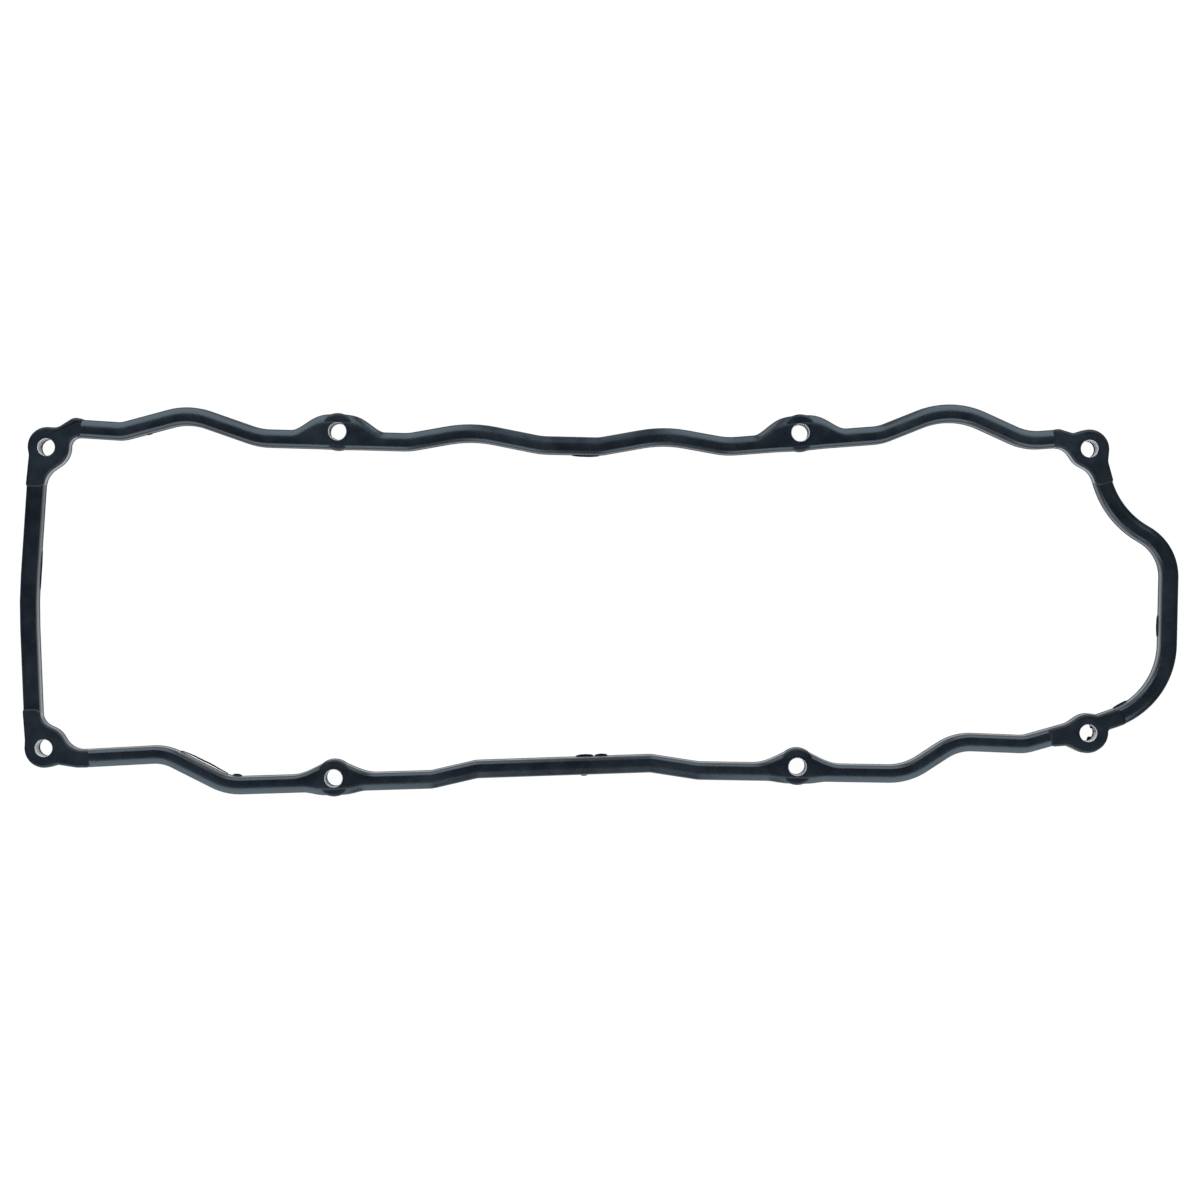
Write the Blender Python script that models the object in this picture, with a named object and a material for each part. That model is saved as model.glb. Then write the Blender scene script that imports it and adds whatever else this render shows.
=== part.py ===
"""Moulded rubber gasket for a valve cover: one closed bead with eight bolt eyes.

The bead follows the rim of the cover. Four bolts sit outside it in flat-topped corner mouldings,
and four sit beside it in round pads that the bead swells out to meet. Everything is one moulding.
Sizes are in millimetres, +Y is the upper long side and +Z is up, away from the seat face.
"""

import math
from dataclasses import dataclass

import bmesh
import bpy
import numpy as np
from mathutils import Matrix, Vector

MM = 0.001
RUBBER_COLOUR = (0.03, 0.034, 0.04, 1)
RUBBER_ROUGHNESS = 0.42

# Plan: the bead's middle at the two ends, and the columns of corner bolts beside them
LEFT_END = -229.45
RIGHT_END = 228.75
LEFT_BOLTS = -222.0
RIGHT_BOLTS = 195.55

# Bead section
BEAD_WIDTH = 7.5
BEAD_HEIGHT = 6.0
CROWN_WIDTH = 2.8
SHOULDER_DROP = 2.0
SHOULDER_STEPS = 3

# Lip at the mould's parting line, where the section is widest, and the draft below it
LIP_REACH = 0.3
LIP_HEIGHT = 1.7
LIP_RISE = 0.3
BASE_DRAFT = 0.6

# Bolt eyes
BOLT_HOLE = 7.4
LOBE_RADIUS = 7.7
PAD_RADIUS = 7.4
PAD_HEIGHT = 6.2
FLARE_SETBACK = 0.2
FLARE_RUN = 11.0
FLARE_SPREAD = 1.15
OUTER_FULLNESS = 2.0
INNER_FULLNESS = 1.1

# Corner mouldings
MOULDING_HEIGHT = 6.3
MOULDING_OVERHANG = 0.1
MOULDING_EDGE = 0.6
SEAM_ROUND = 0.9
SEAM_CLEARANCE = 1.0
TONGUE_ROUND = 2.4

# Flash left at the parting line
FLASH_REACH = 0.6
FLASH_THICKNESS = 0.5
FLASH_SIDES = 16

# Fineness of the surfaces
ARC_ERROR = 0.09
LONGEST_STEP = 40.0
FLARE_STEP = 3.5
SHORTEST_STEP = 0.3
CIRCLE_SIDES = 32
SKIRT = 1.0
SKIRT_STEP = 0.35
CUT_MARGIN = 5.0

HALF_WIDTH = BEAD_WIDTH / 2
WALL_OFFSET = HALF_WIDTH - LIP_REACH
DRAFT_SLOPE = BASE_DRAFT / LIP_HEIGHT
MOULDING_OFFSET = WALL_OFFSET + MOULDING_OVERHANG


@dataclass(frozen=True)
class Bolt:
    name: str
    x: float
    y: float


@dataclass(frozen=True)
class Corner:
    """A corner of an outline, rounded by an arc of the given radius."""

    x: float
    y: float
    radius: float = 0.0


@dataclass(frozen=True)
class Moulding:
    """A corner moulding: its seams on the bead, and its outer edge before and after the bolt's lobe."""

    bolt: Bolt
    seam_before: Corner
    edge_before: tuple
    lobe: tuple
    edge_after: tuple
    seam_after: Corner
    tongue_first: bool


UPPER_LEFT = Bolt("upper_left", LEFT_BOLTS + 0.5, 61.2)
LOWER_LEFT = Bolt("lower_left", LEFT_BOLTS - 0.5, -59.2)
UPPER_RIGHT = Bolt("upper_right", RIGHT_BOLTS + 0.25, 60.6)
LOWER_RIGHT = Bolt("lower_right", RIGHT_BOLTS - 0.25, -53.2)
SIDE_BOLTS = (
    Bolt("upper_side_left", -105.1, 67.6),
    Bolt("upper_side_right", 80.2, 67.1),
    Bolt("lower_side_left", -106.6, -71.3),
    Bolt("lower_side_right", 79.0, -66.7),
)
CORNER_BOLTS = (UPPER_LEFT, LOWER_LEFT, UPPER_RIGHT, LOWER_RIGHT)


def near(bolt, dx, dy, radius=0.0):
    """A corner placed from a bolt."""
    return Corner(bolt.x + dx, bolt.y + dy, radius)


# Centre line of the bead, anticlockwise from the right end of the upper side
ROUTE = (
    Corner(171.0, 64.0, 22.0),
    Corner(141.1, 77.7, 31.0),
    Corner(112.7, 66.4, 20.0),
    Corner(50.7, 61.7, 30.0),
    Corner(25.5, 66.3, 50.0),
    Corner(-0.1, 61.75, 20.0),
    Corner(-23.6, 62.3, 30.0),
    Corner(-51.6, 67.9, 50.0),
    Corner(-76.6, 63.5, 20.0),
    Corner(-136.6, 65.1, 28.0),
    Corner(-164.9, 75.0, 25.0),
    Corner(-191.6, 67.8, 12.0),
    near(UPPER_LEFT, 5.3, 8.2, 7.4),
    near(UPPER_LEFT, 5.3, -2.6, 5.2),
    near(UPPER_LEFT, -4.5, -9.2, 13.0),
    Corner(LEFT_END, -0.5, 200.0),
    near(LOWER_LEFT, -4.9, 8.0, 9.4),
    near(LOWER_LEFT, 3.6, 3.9, 5.2),
    near(LOWER_LEFT, 8.6, -4.8, 11.8),
    Corner(-174.6, -61.9, 18.0),
    Corner(-149.4, -74.6, 22.0),
    Corner(-67.4, -72.1, 10.0),
    Corner(-49.5, -67.95, 10.0),
    Corner(20.3, -65.6, 8.0),
    Corner(39.4, -68.55, 10.0),
    Corner(123.0, -69.9, 24.0),
    Corner(143.0, -56.9, 20.0),
    Corner(170.4, -58.0, 14.0),
    near(LOWER_RIGHT, -6.5, 0.4, 12.0),
    near(LOWER_RIGHT, -0.9, 4.2, 4.2),
    near(LOWER_RIGHT, 4.4, 3.4, 5.0),
    Corner(RIGHT_END - 1.4, -40.3, 32.0),
    Corner(RIGHT_END, 20.7, 19.5),
    Corner(RIGHT_END - 22.45, 33.4, 35.0),
    near(UPPER_RIGHT, 4.1, -6.6, 12.2),
    near(UPPER_RIGHT, -2.8, -3.1, 4.2),
    near(UPPER_RIGHT, -8.0, 4.6, 10.4),
)

MOULDINGS = (
    Moulding(
        UPPER_LEFT,
        near(UPPER_LEFT, 13.8, 7.7),
        (near(UPPER_LEFT, 10.4, 11.6, 4.0), near(UPPER_LEFT, 4.3, 7.9, 5.0)),
        (82.0, 185.0),
        (near(UPPER_LEFT, -7.2, -3.0, 2.5),),
        near(UPPER_LEFT, -5.2, -16.0),
        False,
    ),
    Moulding(
        LOWER_LEFT,
        near(LOWER_LEFT, -5.2, 15.8),
        (near(LOWER_LEFT, -7.4, 3.2, 3.0),),
        (178.0, 286.0),
        (near(LOWER_LEFT, 6.2, -6.0, 3.0), near(LOWER_LEFT, 12.4, -7.9, 5.0)),
        near(LOWER_LEFT, 18.0, -4.3),
        True,
    ),
    Moulding(
        LOWER_RIGHT,
        near(LOWER_RIGHT, -15.3, -2.0),
        (near(LOWER_RIGHT, -7.4, -3.8, 3.0),),
        (-118.0, 5.0),
        (near(LOWER_RIGHT, 8.2, 1.2, 1.2), near(LOWER_RIGHT, 11.4, 2.2, 5.0)),
        near(LOWER_RIGHT, 14.3, 7.2),
        False,
    ),
    Moulding(
        UPPER_RIGHT,
        near(UPPER_RIGHT, 6.6, -14.4),
        (near(UPPER_RIGHT, 7.2, -5.2, 4.0),),
        (-8.0, 104.0),
        (near(UPPER_RIGHT, -6.2, 6.2, 3.5), near(UPPER_RIGHT, -12.0, 8.0, 4.0)),
        near(UPPER_RIGHT, -14.2, 4.2),
        True,
    ),
)

# Flash slivers: a point beside the bead, and the sliver's half length
FLASH = (
    (-6.2, -61.8, 3.4),
    (0.4, -61.7, 2.2),
    (-6.4, -70.4, 1.2),
    (-6.0, 57.4, 5.0),
    (-146.0, -70.6, 2.3),
    (-158.7, -65.2, 11.0),
    (-181.0, 66.0, 1.2),
    (223.9, -10.4, 4.4),
    (209.0, -41.5, 3.4),
    (-224.6, 12.0, 8.0),
)


def unit(vector):
    """The vector at length one."""
    return vector / np.linalg.norm(vector)


def rounded(corners):
    """Points round a closed outline whose corners are arcs, each arc no longer than its sides allow."""
    places = np.array([(corner.x, corner.y) for corner in corners])
    radii = np.array([corner.radius for corner in corners])
    sides = np.roll(places, -1, axis=0) - places
    lengths = np.linalg.norm(sides, axis=1)
    aways = sides / lengths[:, None]
    towards = np.roll(aways, 1, axis=0)
    crosses = towards[:, 0] * aways[:, 1] - towards[:, 1] * aways[:, 0]
    turns = np.arctan2(crosses, np.sum(towards * aways, axis=1))
    tangents = radii * np.tan(np.abs(turns) / 2)
    wanted = tangents + np.roll(tangents, -1)
    room = np.minimum(1.0, lengths / np.maximum(wanted, 1e-9))
    limits = np.minimum(room, np.roll(room, 1))
    points = []
    for here, toward, radius, turn in zip(places, towards, radii * limits, turns, strict=True):
        if radius <= 0 or abs(turn) < 1e-6:
            points.append(here)
            continue
        tangent = radius * math.tan(abs(turn) / 2)
        side = math.copysign(1.0, turn)
        centre = here - toward * tangent + side * radius * np.array((-toward[1], toward[0]))
        step = 2 * math.acos(max(0.0, 1 - ARC_ERROR / radius))
        pieces = max(1, math.ceil(abs(turn) / step))
        first = here - toward * tangent - centre
        for piece in range(pieces + 1):
            angle = turn * piece / pieces
            cos, sin = math.cos(angle), math.sin(angle)
            spoke = (cos * first[0] - sin * first[1], sin * first[0] + cos * first[1])
            points.append(centre + np.array(spoke))
    points = np.array(points)
    gaps = np.linalg.norm(points - np.roll(points, 1, axis=0), axis=1)
    return points[gaps > SHORTEST_STEP]


class Route:
    """The bead's closed centre line, measured by the length run along it."""

    def __init__(self, corners):
        self.points = rounded(corners)
        ends = np.vstack((self.points, self.points[:1]))
        self.steps = np.linalg.norm(np.diff(ends, axis=0), axis=1)
        self.marks = np.concatenate(([0.0], np.cumsum(self.steps)))
        self.length = self.marks[-1]
        along = np.diff(ends, axis=0) / self.steps[:, None]
        mean = along + np.roll(along, 1, axis=0)
        self.headings = mean / np.linalg.norm(mean, axis=1)[:, None]

    def at(self, length):
        """The point, and the outward direction, at a length run along the route."""
        length = length % self.length
        index = int(np.searchsorted(self.marks, length, side="right")) - 1
        share = (length - self.marks[index]) / self.steps[index]
        after = (index + 1) % len(self.points)
        point = (1 - share) * self.points[index] + share * self.points[after]
        heading = unit((1 - share) * self.headings[index] + share * self.headings[after])
        return point, np.array((heading[1], -heading[0]))

    def nearest(self, x, y):
        """The length run at the route's nearest point, and how far outside the route the place lies."""
        place = np.array((x, y))
        starts = self.points
        spans = np.roll(self.points, -1, axis=0) - starts
        shares = np.clip(np.sum((place - starts) * spans, axis=1) / self.steps**2, 0, 1)
        feet = starts + spans * shares[:, None]
        index = int(np.argmin(np.linalg.norm(feet - place, axis=1)))
        length = self.marks[index] + shares[index] * self.steps[index]
        point, outward = self.at(length)
        return length, float((place - point) @ outward)


@dataclass(frozen=True)
class Flare:
    """Where the bead swells to one side to reach a bolt's pad."""

    centre: float
    rise: float
    reach: float
    fullness: float

    def width(self, length, whole):
        """The added width at a length run along the route: a cosine wave, broader with its fullness."""
        gap = abs(length - self.centre)
        gap = min(gap, whole - gap)
        if gap >= self.reach:
            return 0.0
        return self.rise * 0.5 * (1 + math.cos(math.pi * (gap / self.reach) ** self.fullness))


def flares_of(route):
    """The outward and the inward flares at the side bolts."""
    outward, inward = [], []
    for bolt in SIDE_BOLTS:
        centre, offset = route.nearest(bolt.x, bolt.y)
        sides = ((outward, offset, OUTER_FULLNESS), (inward, -offset, INNER_FULLNESS))
        for flares, side, fullness in sides:
            rise = side + PAD_RADIUS - HALF_WIDTH - FLARE_SETBACK
            if rise > 0:
                flares.append(Flare(centre, rise, FLARE_RUN + FLARE_SPREAD * rise, fullness))
    return outward, inward


def stations_of(route, flares):
    """The lengths along the route where the bead's section is set out."""
    marks = set(np.round(route.marks[:-1], 6))
    for flare in flares:
        count = max(2, math.ceil(2 * flare.reach / FLARE_STEP))
        for piece in range(count + 1):
            mark = flare.centre + flare.reach * (2 * piece / count - 1)
            marks.add(round(mark % route.length, 6))
    ordered = sorted(marks)
    spaced = []
    for here, after in zip(ordered, ordered[1:] + [route.length], strict=True):
        if after - here < ARC_ERROR:
            continue
        pieces = max(1, math.ceil((after - here) / LONGEST_STEP))
        spaced += [here + (after - here) * piece / pieces for piece in range(pieces)]
    return spaced


def half_section():
    """Offsets past the crown's edge, and heights, from the foot of the section up to its crown."""
    foot = HALF_WIDTH - CROWN_WIDTH / 2
    wall = WALL_OFFSET - CROWN_WIDTH / 2
    rows = [
        (foot - DRAFT_SLOPE * (LIP_HEIGHT + SKIRT), -SKIRT),
        (foot, LIP_HEIGHT),
        (wall, LIP_HEIGHT + LIP_RISE),
    ]
    for step in range(SHOULDER_STEPS + 1):
        angle = math.pi / 2 * step / SHOULDER_STEPS
        rows.append((wall * math.cos(angle), BEAD_HEIGHT - SHOULDER_DROP * (1 - math.sin(angle))))
    return rows


def new_object(name, mesh, collection, parent):
    """An object for the mesh, in the collection and under the parent."""
    thing = bpy.data.objects.new(name, mesh)
    collection.objects.link(thing)
    thing.parent = parent
    return thing


def finished(work, name):
    """A mesh from the working one, its faces turned outwards."""
    bmesh.ops.recalc_face_normals(work, faces=work.faces)
    bmesh.ops.triangulate(work, faces=[face for face in work.faces if len(face.verts) > 4])
    mesh = bpy.data.meshes.new(name)
    work.to_mesh(mesh)
    work.free()
    return mesh


def bridge(work, rings, closed):
    """Quads between neighbouring rings of vertices, and back to the first ring if closed."""
    pairs = list(zip(rings, rings[1:], strict=False))
    if closed:
        pairs.append((rings[-1], rings[0]))
    for low, high in pairs:
        for index in range(len(low)):
            after = (index + 1) % len(low)
            work.faces.new((low[index], low[after], high[after], high[index]))


def bead_mesh(route):
    """The bead: its section carried round the route, wider where a flare meets a pad."""
    outward, inward = flares_of(route)
    rows = half_section()
    work = bmesh.new()
    rings = []
    for length in stations_of(route, outward + inward):
        point, normal = route.at(length)
        sides = []
        for flares, sign in ((outward, 1), (inward, -1)):
            added = max((flare.width(length, route.length) for flare in flares), default=0.0)
            crown = CROWN_WIDTH / 2 + added
            sides.append([(sign * (crown + offset), height) for offset, height in rows])
        ring = []
        for offset, height in sides[0] + sides[1][::-1]:
            x, y = point + normal * offset
            ring.append(work.verts.new((x * MM, y * MM, height * MM)))
        rings.append(ring)
    bridge(work, rings, closed=True)
    return finished(work, "bead")


def block_mesh(name, outline, height, depth):
    """A flat-topped block on an anticlockwise outline: draft below the lip, wall, rounded top edge."""
    before = np.roll(outline, 1, axis=0)
    after = np.roll(outline, -1, axis=0)
    along = after - before
    normals = np.stack((along[:, 1], -along[:, 0]), axis=1)
    normals /= np.linalg.norm(normals, axis=1)[:, None]
    half = MOULDING_EDGE * (1 - math.sqrt(0.5))
    levels = (
        (LIP_REACH - DRAFT_SLOPE * (LIP_HEIGHT + depth), -depth),
        (LIP_REACH, LIP_HEIGHT),
        (0.0, LIP_HEIGHT + LIP_RISE),
        (0.0, height - MOULDING_EDGE),
        (-half, height - half),
        (-MOULDING_EDGE, height),
    )
    work = bmesh.new()
    rings = []
    for offset, level in levels:
        ring = outline + normals * offset
        rings.append([work.verts.new((x * MM, y * MM, level * MM)) for x, y in ring])
    bridge(work, rings, closed=False)
    work.faces.new(rings[0][::-1])
    work.faces.new(rings[-1])
    return finished(work, name)


def circle(x, y, radius, sides):
    """Points round a circle, anticlockwise."""
    angles = np.arange(sides) * 2 * math.pi / sides
    return np.stack((x + radius * np.cos(angles), y + radius * np.sin(angles)), axis=1)


def lobe_corners(bolt, start, end):
    """Two corners that put the lobe's arc round a bolt, between two angles in degrees."""
    quarter = math.radians(end - start) / 4
    reach = LOBE_RADIUS / math.cos(quarter)
    corners = []
    for turns in (1, 3):
        angle = math.radians(start) + turns * quarter
        corners.append(near(bolt, reach * math.cos(angle), reach * math.sin(angle), LOBE_RADIUS))
    return corners


def moulding_outline(moulding, route):
    """The moulding's outline: its outer edge and lobe, then back along the inner side of the bead."""
    first = route.nearest(moulding.seam_before.x, moulding.seam_before.y)[0]
    last = route.nearest(moulding.seam_after.x, moulding.seam_after.y)[0]
    if last < first:
        last += route.length
    tongues = (TONGUE_ROUND, SEAM_ROUND) if moulding.tongue_first else (SEAM_ROUND, TONGUE_ROUND)

    def edge(length, side, radius=0.0):
        point, outward = route.at(length)
        place = point + outward * side * MOULDING_OFFSET
        return Corner(place[0], place[1], radius)

    corners = [edge(first, 1, SEAM_ROUND), *moulding.edge_before]
    corners += lobe_corners(moulding.bolt, *moulding.lobe)
    corners += [*moulding.edge_after, edge(last, 1, SEAM_ROUND), edge(last, -1, tongues[1])]
    marks = [mark + turns * route.length for turns in (0, 1) for mark in route.marks[:-1]]
    start, end = first + tongues[0] + SEAM_CLEARANCE, last - tongues[1] - SEAM_CLEARANCE
    inner = [mark for mark in marks if start < mark < end]
    corners += [edge(mark, -1) for mark in reversed(inner)]
    corners.append(edge(first, -1, tongues[0]))
    return rounded(corners)


def blocks(route, collection, parent):
    """The corner mouldings, the side pads and the flash slivers, each a closed body."""
    for moulding in MOULDINGS:
        name = f"moulding_{moulding.bolt.name}"
        outline = moulding_outline(moulding, route)
        mesh = block_mesh(name, outline, MOULDING_HEIGHT, SKIRT + SKIRT_STEP)
        new_object(name, mesh, collection, parent)
    for bolt in SIDE_BOLTS:
        outline = circle(bolt.x, bolt.y, PAD_RADIUS, CIRCLE_SIDES)
        mesh = block_mesh(f"pad_{bolt.name}", outline, PAD_HEIGHT, SKIRT + 2 * SKIRT_STEP)
        new_object(f"pad_{bolt.name}", mesh, collection, parent)
    for number, (x, y, half_length) in enumerate(FLASH, start=1):
        length, offset = route.nearest(x, y)
        point, outward = route.at(length)
        centre = point + outward * math.copysign(HALF_WIDTH, offset)
        turn = math.atan2(outward[0], -outward[1])
        work = bmesh.new()
        bmesh.ops.create_cone(work, cap_ends=True, segments=FLASH_SIDES, radius1=1, radius2=1, depth=1)
        place = Vector((centre[0], centre[1], LIP_HEIGHT)) * MM
        size = Matrix.Diagonal((half_length * MM, FLASH_REACH * MM, FLASH_THICKNESS * MM, 1))
        bmesh.ops.transform(
            work, matrix=Matrix.Translation(place) @ Matrix.Rotation(turn, 4, "Z") @ size, verts=work.verts
        )
        new_object(f"flash_{number}", finished(work, f"flash_{number}"), collection, parent)


def cutters(route, collection, parent):
    """The eight bolt holes, and the block that trims the underside flat."""
    deep = BEAD_HEIGHT + 2 * CUT_MARGIN
    for bolt in (*CORNER_BOLTS, *SIDE_BOLTS):
        work = bmesh.new()
        bmesh.ops.create_cone(
            work,
            cap_ends=True,
            segments=CIRCLE_SIDES,
            radius1=BOLT_HOLE / 2 * MM,
            radius2=BOLT_HOLE / 2 * MM,
            depth=deep * MM,
            matrix=Matrix.Translation(Vector((bolt.x, bolt.y, BEAD_HEIGHT / 2)) * MM),
        )
        new_object(f"hole_{bolt.name}", finished(work, f"hole_{bolt.name}"), collection, parent)
    low = route.points.min(axis=0) - LOBE_RADIUS - CUT_MARGIN
    high = route.points.max(axis=0) + LOBE_RADIUS + CUT_MARGIN
    size = Matrix.Diagonal((*((high - low) * MM), CUT_MARGIN * MM, 1))
    centre = Vector((*((high + low) / 2), -CUT_MARGIN / 2)) * MM
    work = bmesh.new()
    bmesh.ops.create_cube(work, size=1, matrix=Matrix.Translation(centre) @ size)
    new_object("underside_trim", finished(work, "underside_trim"), collection, parent)


def black_rubber():
    """Plain black moulded rubber."""
    material = bpy.data.materials.new("black_rubber")
    material.use_nodes = True
    shader = material.node_tree.nodes["Principled BSDF"]
    shader.inputs["Base Color"].default_value = RUBBER_COLOUR
    shader.inputs["Roughness"].default_value = RUBBER_ROUGHNESS
    shader.inputs["Metallic"].default_value = 0.0
    material.diffuse_color = RUBBER_COLOUR
    return material


def combine(thing, collection, operation):
    """Joins a collection to the object, or cuts it away."""
    modifier = thing.modifiers.new(f"{operation.lower()}_{collection.name}", "BOOLEAN")
    modifier.operation = operation
    modifier.operand_type = "COLLECTION"
    modifier.collection = collection
    modifier.solver = "EXACT"


def hidden(collection):
    """Keeps the collection's objects as wire guides that no render shows."""
    for thing in collection.objects:
        thing.hide_render = True
        thing.display_type = "WIRE"


def centre_on_origin(thing, frame):
    """Moves the frame so that the object's box is centred on the origin in X and Y."""
    bpy.context.view_layer.update()
    shape = thing.evaluated_get(bpy.context.evaluated_depsgraph_get())
    mesh = shape.to_mesh()
    places = np.empty(len(mesh.vertices) * 3, np.float32)
    mesh.vertices.foreach_get("co", places)
    shape.to_mesh_clear()
    places = places.reshape(-1, 3)
    middle = (places.min(axis=0) + places.max(axis=0)) / 2
    frame.location = (-middle[0], -middle[1], 0)


def main():
    for thing in list(bpy.data.objects):
        bpy.data.objects.remove(thing, do_unlink=True)
    scene = bpy.context.scene
    made = [bpy.data.collections.new(name) for name in ("valve_cover_gasket", "moulded_on", "cut_away")]
    parts, added, removed = made
    for collection in made:
        scene.collection.children.link(collection)
    frame = bpy.data.objects.new("gasket_frame", None)
    parts.objects.link(frame)
    route = Route(ROUTE)
    gasket = new_object("gasket", bead_mesh(route), parts, frame)
    gasket.data.materials.append(black_rubber())
    blocks(route, added, frame)
    cutters(route, removed, frame)
    combine(gasket, added, "UNION")
    combine(gasket, removed, "DIFFERENCE")
    hidden(added)
    hidden(removed)
    centre_on_origin(gasket, frame)


main()
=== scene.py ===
"""Dresses the valve cover gasket: one moulding of black rubber on a plain white floor.

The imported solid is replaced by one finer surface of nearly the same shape. Lengths are in
millimetres and angles in degrees until a mesh or a lamp is made, and +Z is up from the seat face.
"""

from __future__ import annotations

import logging
import math
from dataclasses import dataclass
from enum import Enum

import bmesh  # noqa: E402
import bpy  # noqa: E402
import numpy as np  # noqa: E402
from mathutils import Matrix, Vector  # noqa: E402


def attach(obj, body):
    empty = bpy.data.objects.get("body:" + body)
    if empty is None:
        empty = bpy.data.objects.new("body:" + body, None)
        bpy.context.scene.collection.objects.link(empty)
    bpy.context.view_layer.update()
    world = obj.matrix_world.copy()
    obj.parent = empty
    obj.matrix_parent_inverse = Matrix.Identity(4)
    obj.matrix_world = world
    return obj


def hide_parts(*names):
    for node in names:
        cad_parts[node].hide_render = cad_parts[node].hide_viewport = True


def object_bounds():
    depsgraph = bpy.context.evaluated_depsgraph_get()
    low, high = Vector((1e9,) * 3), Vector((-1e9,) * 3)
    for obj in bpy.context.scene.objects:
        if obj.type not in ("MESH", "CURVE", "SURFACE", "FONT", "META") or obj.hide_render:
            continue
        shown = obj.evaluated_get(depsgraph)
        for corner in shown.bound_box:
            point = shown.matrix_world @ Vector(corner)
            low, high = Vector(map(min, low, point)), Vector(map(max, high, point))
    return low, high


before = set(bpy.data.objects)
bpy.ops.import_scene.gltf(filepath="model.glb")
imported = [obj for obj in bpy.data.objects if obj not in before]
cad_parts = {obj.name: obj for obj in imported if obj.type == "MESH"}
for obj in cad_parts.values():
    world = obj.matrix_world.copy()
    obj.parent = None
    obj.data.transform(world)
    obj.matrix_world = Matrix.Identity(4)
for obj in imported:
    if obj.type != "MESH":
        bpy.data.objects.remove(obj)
CAD_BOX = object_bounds()

LOG = logging.getLogger("gasket")
MM = 0.001
NODE = "gasket"
SAME_PLACE = 0.001
LEAST_LENGTH = 1e-9

Array = np.ndarray
Colour = tuple[float, float, float]


class Finish(Enum):
    """The rubber's finishes, by material slot."""

    BEAD = 0
    MOULDING = 1
    FLASH = 2
    # the holes' walls, painted pale as a reflection of the white floor
    BORE_REFLECTION = 3
    PAD = 4


# Plan of the gasket


@dataclass(frozen=True)
class Corner:
    """A corner of an outline, rounded by an arc."""

    x: float
    y: float
    radius: float = 0.0


@dataclass(frozen=True)
class Bolt:
    """A bolt's place."""

    name: str
    x: float
    y: float

    def near(self, dx: float, dy: float, radius: float = 0.0) -> Corner:
        """A corner placed from the bolt."""
        return Corner(self.x + dx, self.y + dy, radius)


UPPER_LEFT = Bolt("upper_left", -221.5, 61.2)
LOWER_LEFT = Bolt("lower_left", -222.5, -59.2)
UPPER_RIGHT = Bolt("upper_right", 195.8, 60.6)
LOWER_RIGHT = Bolt("lower_right", 195.3, -53.2)
SIDE_BOLTS = (
    Bolt("upper_side_left", -105.1, 67.6),
    Bolt("upper_side_right", 80.2, 67.1),
    Bolt("lower_side_left", -106.6, -71.3),
    Bolt("lower_side_right", 79.0, -66.7),
)
CORNER_BOLTS = (UPPER_LEFT, LOWER_LEFT, UPPER_RIGHT, LOWER_RIGHT)

ROUTE = (
    Corner(171.0, 64.0, 22.0),
    Corner(141.1, 77.7, 31.0),
    Corner(112.7, 66.4, 20.0),
    Corner(50.7, 61.7, 30.0),
    Corner(25.5, 66.3, 50.0),
    Corner(-0.1, 61.75, 20.0),
    Corner(-23.6, 62.3, 30.0),
    Corner(-51.6, 67.9, 50.0),
    Corner(-76.6, 63.5, 20.0),
    Corner(-136.6, 65.1, 28.0),
    Corner(-164.9, 75.0, 25.0),
    Corner(-191.6, 67.8, 12.0),
    UPPER_LEFT.near(5.3, 8.2, 7.4),
    UPPER_LEFT.near(5.3, -2.6, 5.2),
    UPPER_LEFT.near(-4.5, -9.2, 13.0),
    Corner(-229.45, -0.5, 200.0),
    LOWER_LEFT.near(-4.9, 8.0, 9.4),
    LOWER_LEFT.near(3.6, 3.9, 5.2),
    LOWER_LEFT.near(8.6, -4.8, 11.8),
    Corner(-174.6, -61.9, 18.0),
    Corner(-149.4, -74.6, 22.0),
    Corner(-67.4, -72.1, 10.0),
    Corner(-49.5, -67.95, 10.0),
    Corner(20.3, -65.6, 8.0),
    Corner(39.4, -68.55, 10.0),
    Corner(123.0, -69.9, 24.0),
    Corner(143.0, -56.9, 20.0),
    Corner(170.4, -58.0, 14.0),
    LOWER_RIGHT.near(-6.5, 0.4, 12.0),
    LOWER_RIGHT.near(-0.9, 4.2, 4.2),
    LOWER_RIGHT.near(4.4, 3.4, 5.0),
    Corner(227.35, -40.3, 32.0),
    Corner(228.75, 20.7, 19.5),
    Corner(206.3, 33.4, 35.0),
    UPPER_RIGHT.near(4.1, -6.6, 12.2),
    UPPER_RIGHT.near(-2.8, -3.1, 4.2),
    UPPER_RIGHT.near(-8.0, 4.6, 10.4),
)


def unit(vectors: Array) -> Array:
    """Each row of an array of vectors, at length one."""
    return vectors / np.linalg.norm(vectors, axis=-1, keepdims=True)


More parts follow.
